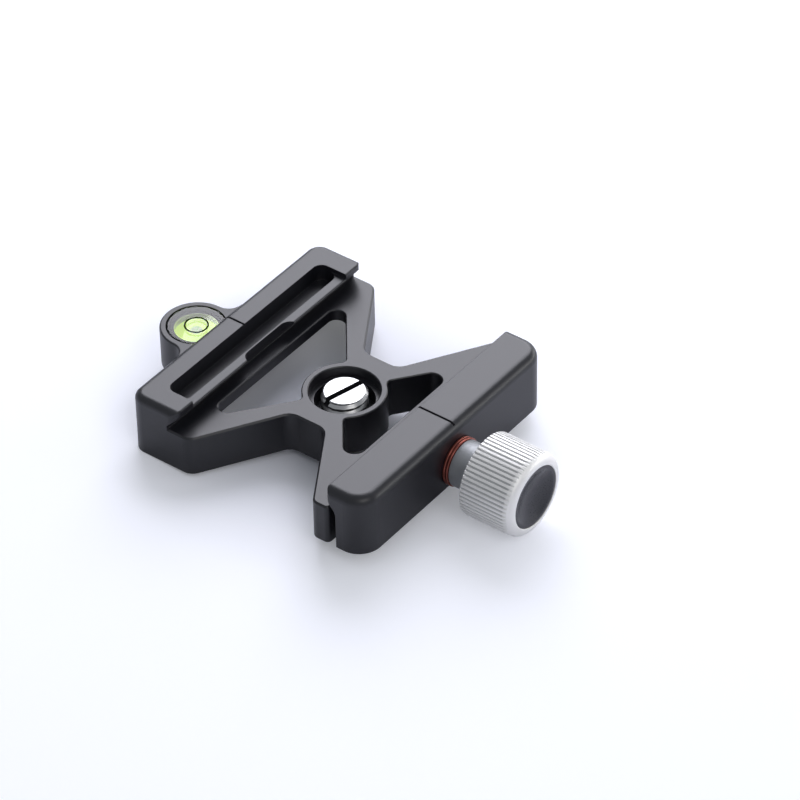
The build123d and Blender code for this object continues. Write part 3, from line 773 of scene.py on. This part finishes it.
class CLAMP_OT_level(Operator):
    """Builds the bull's-eye level: lens, printed ring, liquid, bubble and cup"""

    bl_idname = "clamp.level"
    bl_label = "Level"

    def execute(self, context):
        look = context.scene.clamp_level
        acrylic = clear_acrylic("clear_acrylic", (0.97, 0.985, 0.975))
        self.lens(look, acrylic)
        self.ring(look)
        self.liquid()
        self.cup(look, acrylic)
        self.bubble(look)
        dress("level_base", satin_plastic("base_black", (0.02, 0.02, 0.022), rough=0.45))
        return {"FINISHED"}

    def turned(self, name, profile, close_rows=False):
        """A piece from a profile of (height, radius), turned about the level's upright axis."""
        profile = np.asarray(profile, float)
        angles = np.linspace(0, TURN, 128, endpoint=False)[None]
        return surface(name, around_z(profile[:, :1], profile[:, 1:2], angles, LEVEL_MIDDLE), close_rows)

    def dome(self):
        """The lens's hollow underside, from its middle out: height = edge + rise (1 - (radius / inside) squared)."""
        shares = np.linspace(0, 1, 14)
        heights = LENS_UNDER + (float(FLUID_HIGH[2]) - LENS_UNDER) * (1 - shares**2)
        return np.stack([heights, LEVEL_INSIDE * shares], 1)

    def lens(self, look, acrylic):
        """The lens: its dome, its rim with a rounded upper edge, and the seat that the printed ring fills."""
        corners = [
            (LENS_UNDER, LEVEL_INSIDE), (LENS_UNDER, LEVEL_OUTSIDE), (LENS_TOP, LEVEL_OUTSIDE), (LENS_TOP, RING_OUTER)
        ]
        rim = rounded_profile(corners, [0.08 * MM, look.edge_round])
        rim[-1, 1] += LAP
        floor, inner = float(RING_LOW[2]) - LAP, RING_INNER - LAP
        seat = [(floor, RING_OUTER + LAP), (floor, inner), (LENS_TOP, inner), (LENS_TOP, 0)]
        piece = self.turned("level_lens_clear", np.concatenate([self.dome(), rim[1:], seat]))
        finish_piece(piece, acrylic, "frame", "clear_acrylic", "level_lens")

    def ring(self, look):
        """The printed ring: a flat section turned about the level's axis."""
        low = float(RING_LOW[2])
        section = [(low, RING_INNER), (LENS_TOP, RING_INNER), (LENS_TOP, RING_OUTER), (low, RING_OUTER)]
        print_black = matt_paint_and_shade("ring_print_black", tuple(look.print_black))
        piece = self.turned("level_ring_printed", section, close_rows=True)
        finish_piece(piece, print_black, "frame", "ring_print", "level_ring")

    def liquid(self):
        """The liquid: it reaches a little way into lens and cup, so that no air shows between them."""
        wall, floor = LEVEL_INSIDE + LAP, float(FLUID_LOW[2]) - LAP
        profile = np.concatenate([self.dome()[:-1] + (LAP, 0), [(LENS_UNDER + LAP, wall), (floor, wall), (floor, 0)]])
        clear = clear_acrylic("level_liquid_clear", (0.93, 0.985, 0.72))
        finish_piece(self.turned("level_liquid_body", profile), clear, "frame", "level_liquid", "level_fluid")

    def cup(self, look, acrylic):
        """The cup: dark outside, with a floor that glows in the liquid's colour as painted light, and clear inside
        above it.
        """
        floor, base = float(FLUID_LOW[2]), float(CUP_LOW[2])
        piece = self.turned("level_cup_body", [
            (floor, 0), (floor, LEVEL_INSIDE), (LENS_UNDER, LEVEL_INSIDE), (LENS_UNDER, LEVEL_OUTSIDE),
            (base, LEVEL_OUTSIDE), (base, 0),
        ])
        wall = satin_plastic("cup_wall_dark", tuple(look.wall), rough=0.25)
        finish_piece(piece, wall, "frame", "clear_acrylic", "level_cup")
        # Painted light: the cup's floor glows in the liquid's colour.
        piece.data.materials.append(glowing("liquid_painted_glow", tuple(look.liquid), glow=1.0))
        piece.data.materials.append(acrylic)
        x, y, z = face_middles(piece.data)
        reach = np.hypot(x - LEVEL_MIDDLE[0], y - LEVEL_MIDDLE[1])
        slack = 0.01 * MM
        lit = (np.abs(z - floor) < slack) & (reach < LEVEL_INSIDE)
        clear = (z > floor + slack) & (reach < LEVEL_OUTSIDE - slack)
        piece.data.polygons.foreach_set("material_index", (lit + 2 * clear).astype(np.int32))

    def bubble(self, look):
        """The bubble, a flat ball: height = middle + half height cos p, radius = half width sin p."""
        centre, half = (BUBBLE_LOW + BUBBLE_HIGH) / 2, (BUBBLE_HIGH - BUBBLE_LOW) / 2
        polar = np.linspace(0, math.pi, 25)[:, None]
        angles = np.linspace(0, TURN, 128, endpoint=False)[None]
        points = around_z(centre[2] + half[2] * np.cos(polar), half[0] * np.sin(polar), angles, centre)
        # Painted light: the bubble glows a little.
        air = glowing("bubble_pale", tuple(look.bubble), glow=0.25)
        finish_piece(surface("level_bubble_round", points), air, "frame", "bubble", "level_bubble")


class CLAMP_OT_studio(Operator):
    """Sets the floor, the lamps, the room's light and the camera"""

    bl_idname = "clamp.studio"
    bl_label = "Studio"

    def execute(self, context):
        look = context.scene.clamp_studio
        self.floor(look)
        self.room(look)
        toward = self.camera(look)
        mirrored = np.array([-toward[0] + 0.1, -toward[1] + 0.1, toward[2]])
        white = (1, 1, 1)
        self.lamp("softbox_behind", mirrored, 0.6, (0.48, 0.48), look.softbox, look.softbox_tint)
        self.lamp("softbox_low", np.array([0.5, 0.85, 0.16]), 1.2, (1.5, 0.24), look.horizon, white)
        self.lamp("softbox_side", np.array([0.68, 0.6, 0.38]), 1.0, (0.3, 0.3), look.side, white)
        self.lamp("fill_front", np.array([0.75, -0.35, 0.75]), 1.4, (0.7, 0.7), look.fill, look.fill_tint)
        return {"FINISHED"}

    def floor(self, look):
        """A wide floor whose height falls with X: height = -slope (x + start).

        Away from the clamp it glows a little for the camera alone, a painted light that runs it into the white
        background.
        """
        reach = 3
        x, y = np.meshgrid([-reach, reach], [-reach, reach])
        points = np.stack([x, y, -look.floor_slope * (x + look.floor_start)], -1).reshape(-1, 3)
        mesh = bpy.data.meshes.new("floor")
        mesh.from_pydata(points.tolist(), [], [(0, 1, 3, 2)])
        plane = bpy.data.objects.new("floor", mesh)
        bpy.context.scene.collection.objects.link(plane)
        shader = Shader("floor_pale", Roughness=0.75, Specular_IOR_Level=0.15)
        cloud = shader.noise(0.3, 2)
        shader.set("Base Color", shader.tint(cloud, scaled(tuple(look.floor), 0.99), tuple(look.floor)))
        path = shader.add("ShaderNodeLightPath")
        away = shader.tree.nodes.new("ShaderNodeVectorMath")
        away.operation = "DISTANCE"
        shader.tree.links.new(shader.place, away.inputs[0])
        away.inputs[1].default_value = (-7 * MM, 0, 0)
        # Painted light: no glow within 12 mm of a point near the clamp, rising to 0.29 at 45 mm.
        clear = shader.add("ShaderNodeMapRange", Value=away.outputs["Value"])
        for name, value in (("From Min", 12 * MM), ("From Max", 45 * MM), ("To Min", 0.0), ("To Max", 0.29)):
            clear.inputs[name].default_value = value
        glow = shader.join("MULTIPLY", path.outputs["Is Camera Ray"], clear.outputs["Result"])
        shader.set("Emission Color", (0.95, 0.97, 1.0))
        shader.set("Emission Strength", glow)
        mesh.materials.append(shader.material)

    def room(self, look):
        """The room: a soft pale light on the clamp, at full strength where the camera sees past the floor."""
        world = bpy.data.worlds.new("room")
        world.use_nodes = True
        tree = world.node_tree
        path = tree.nodes.new("ShaderNodeLightPath")
        back = tree.nodes["Background"]
        back.inputs["Color"].default_value = (0.9, 0.94, 1.0, 1)
        level = tree.nodes.new("ShaderNodeMapRange")
        level.inputs["To Min"].default_value = look.world
        level.inputs["To Max"].default_value = 1.0
        tree.links.new(path.outputs["Is Camera Ray"], level.inputs["Value"])
        tree.links.new(level.outputs["Result"], back.inputs["Strength"])
        bpy.context.scene.world = world

    def lamp(self, name, direction, distance, size, watts, tint):
        """A softbox of the given width and height at a distance along a direction, facing the clamp."""
        data = bpy.data.lights.new(name, "AREA")
        data.shape = "RECTANGLE"
        data.size, data.size_y = size
        data.energy = watts
        data.color = tint
        lamp = bpy.data.objects.new(name, data)
        back = direction / np.linalg.norm(direction)
        self.aim(lamp, back, back * distance)
        lamp.visible_camera = False
        bpy.context.scene.collection.objects.link(lamp)

    def aim(self, thing, back, place, roll=0.0):
        """Turns a lamp or camera: its -Z looks against back, and its X is level but for the roll."""
        right = np.cross([0, 0, 1], back)
        right = right / np.linalg.norm(right)
        up = np.cross(back, right)
        cosine, sine = math.cos(roll), math.sin(roll)
        rows = np.array([cosine * right - sine * up, sine * right + cosine * up, back])
        matrix = np.eye(4)
        matrix[:3, :3] = rows.T
        matrix[:3, 3] = place
        thing.matrix_world = Matrix(matrix.tolist())

    def camera(self, look):
        """The photograph's camera: it looks against back = (sin a cos e, -cos a cos e, sin e).

        It stands so that the clamp's origin falls on its pixel: there the origin lies, seen from the camera, at
        (pixels across, pixels up, -focal length in pixels) from the picture's middle, times distance / focal length.
        """
        level = math.cos(look.elevation)
        back = np.array([math.sin(look.azimuth) * level, -math.cos(look.azimuth) * level, math.sin(look.elevation)])
        data = bpy.data.cameras.new("camera")
        data.lens = look.focal
        data.sensor_width = SENSOR
        data.clip_start, data.clip_end = 0.02, 20
        camera = bpy.data.objects.new("camera", data)
        bpy.context.scene.collection.objects.link(camera)
        self.aim(camera, back, (0, 0, 0), look.roll)
        rows = np.array(camera.matrix_world)[:3, :3].T
        focal = look.focal / SENSOR * PICTURE
        seen = np.array([look.origin_across - PICTURE / 2, PICTURE / 2 - look.origin_down, -focal])
        self.aim(camera, back, -rows.T @ seen * look.distance / focal, look.roll)
        bpy.context.scene.camera = camera
        bpy.context.scene.view_settings.view_transform = "Standard"
        return back


OPERATORS = (
    CLAMP_OT_studio, CLAMP_OT_body, CLAMP_OT_knob, CLAMP_OT_washers, CLAMP_OT_bush, CLAMP_OT_stud, CLAMP_OT_level
)
LOOKS = {
    "clamp_body": ClampBodyLook,
    "clamp_knob": ClampKnobLook,
    "clamp_metal": ClampMetalLook,
    "clamp_level": ClampLevelLook,
    "clamp_studio": ClampStudio,
}


class CLAMP_PT_panel(Panel):
    """Lists the steps that finish the clamp"""

    bl_idname = "CLAMP_PT_panel"
    bl_label = "Quick release clamp"
    bl_space_type = "VIEW_3D"
    bl_region_type = "UI"
    bl_category = "Clamp"

    def draw(self, context):
        for operator in OPERATORS:
            self.layout.operator(operator.bl_idname)
        for name, look in LOOKS.items():
            box = self.layout.box()
            box.label(text=look.__doc__)
            for field in look.__annotations__:
                box.prop(getattr(context.scene, name), field)


def register():
    for name, look in LOOKS.items():
        bpy.utils.register_class(look)
        setattr(bpy.types.Scene, name, PointerProperty(type=look))
    for operator in OPERATORS:
        bpy.utils.register_class(operator)
    bpy.utils.register_class(CLAMP_PT_panel)


def unregister():
    bpy.utils.unregister_class(CLAMP_PT_panel)
    for operator in reversed(OPERATORS):
        bpy.utils.unregister_class(operator)
    for name, look in LOOKS.items():
        delattr(bpy.types.Scene, name)
        bpy.utils.unregister_class(look)


def main():
    """Registers the classes and runs the steps in order."""
    register()
    bpy.ops.clamp.studio()
    bpy.ops.clamp.body()
    bpy.ops.clamp.knob()
    bpy.ops.clamp.washers()
    bpy.ops.clamp.bush()
    bpy.ops.clamp.stud()
    bpy.ops.clamp.level()


if __name__ == "__main__":
    main()
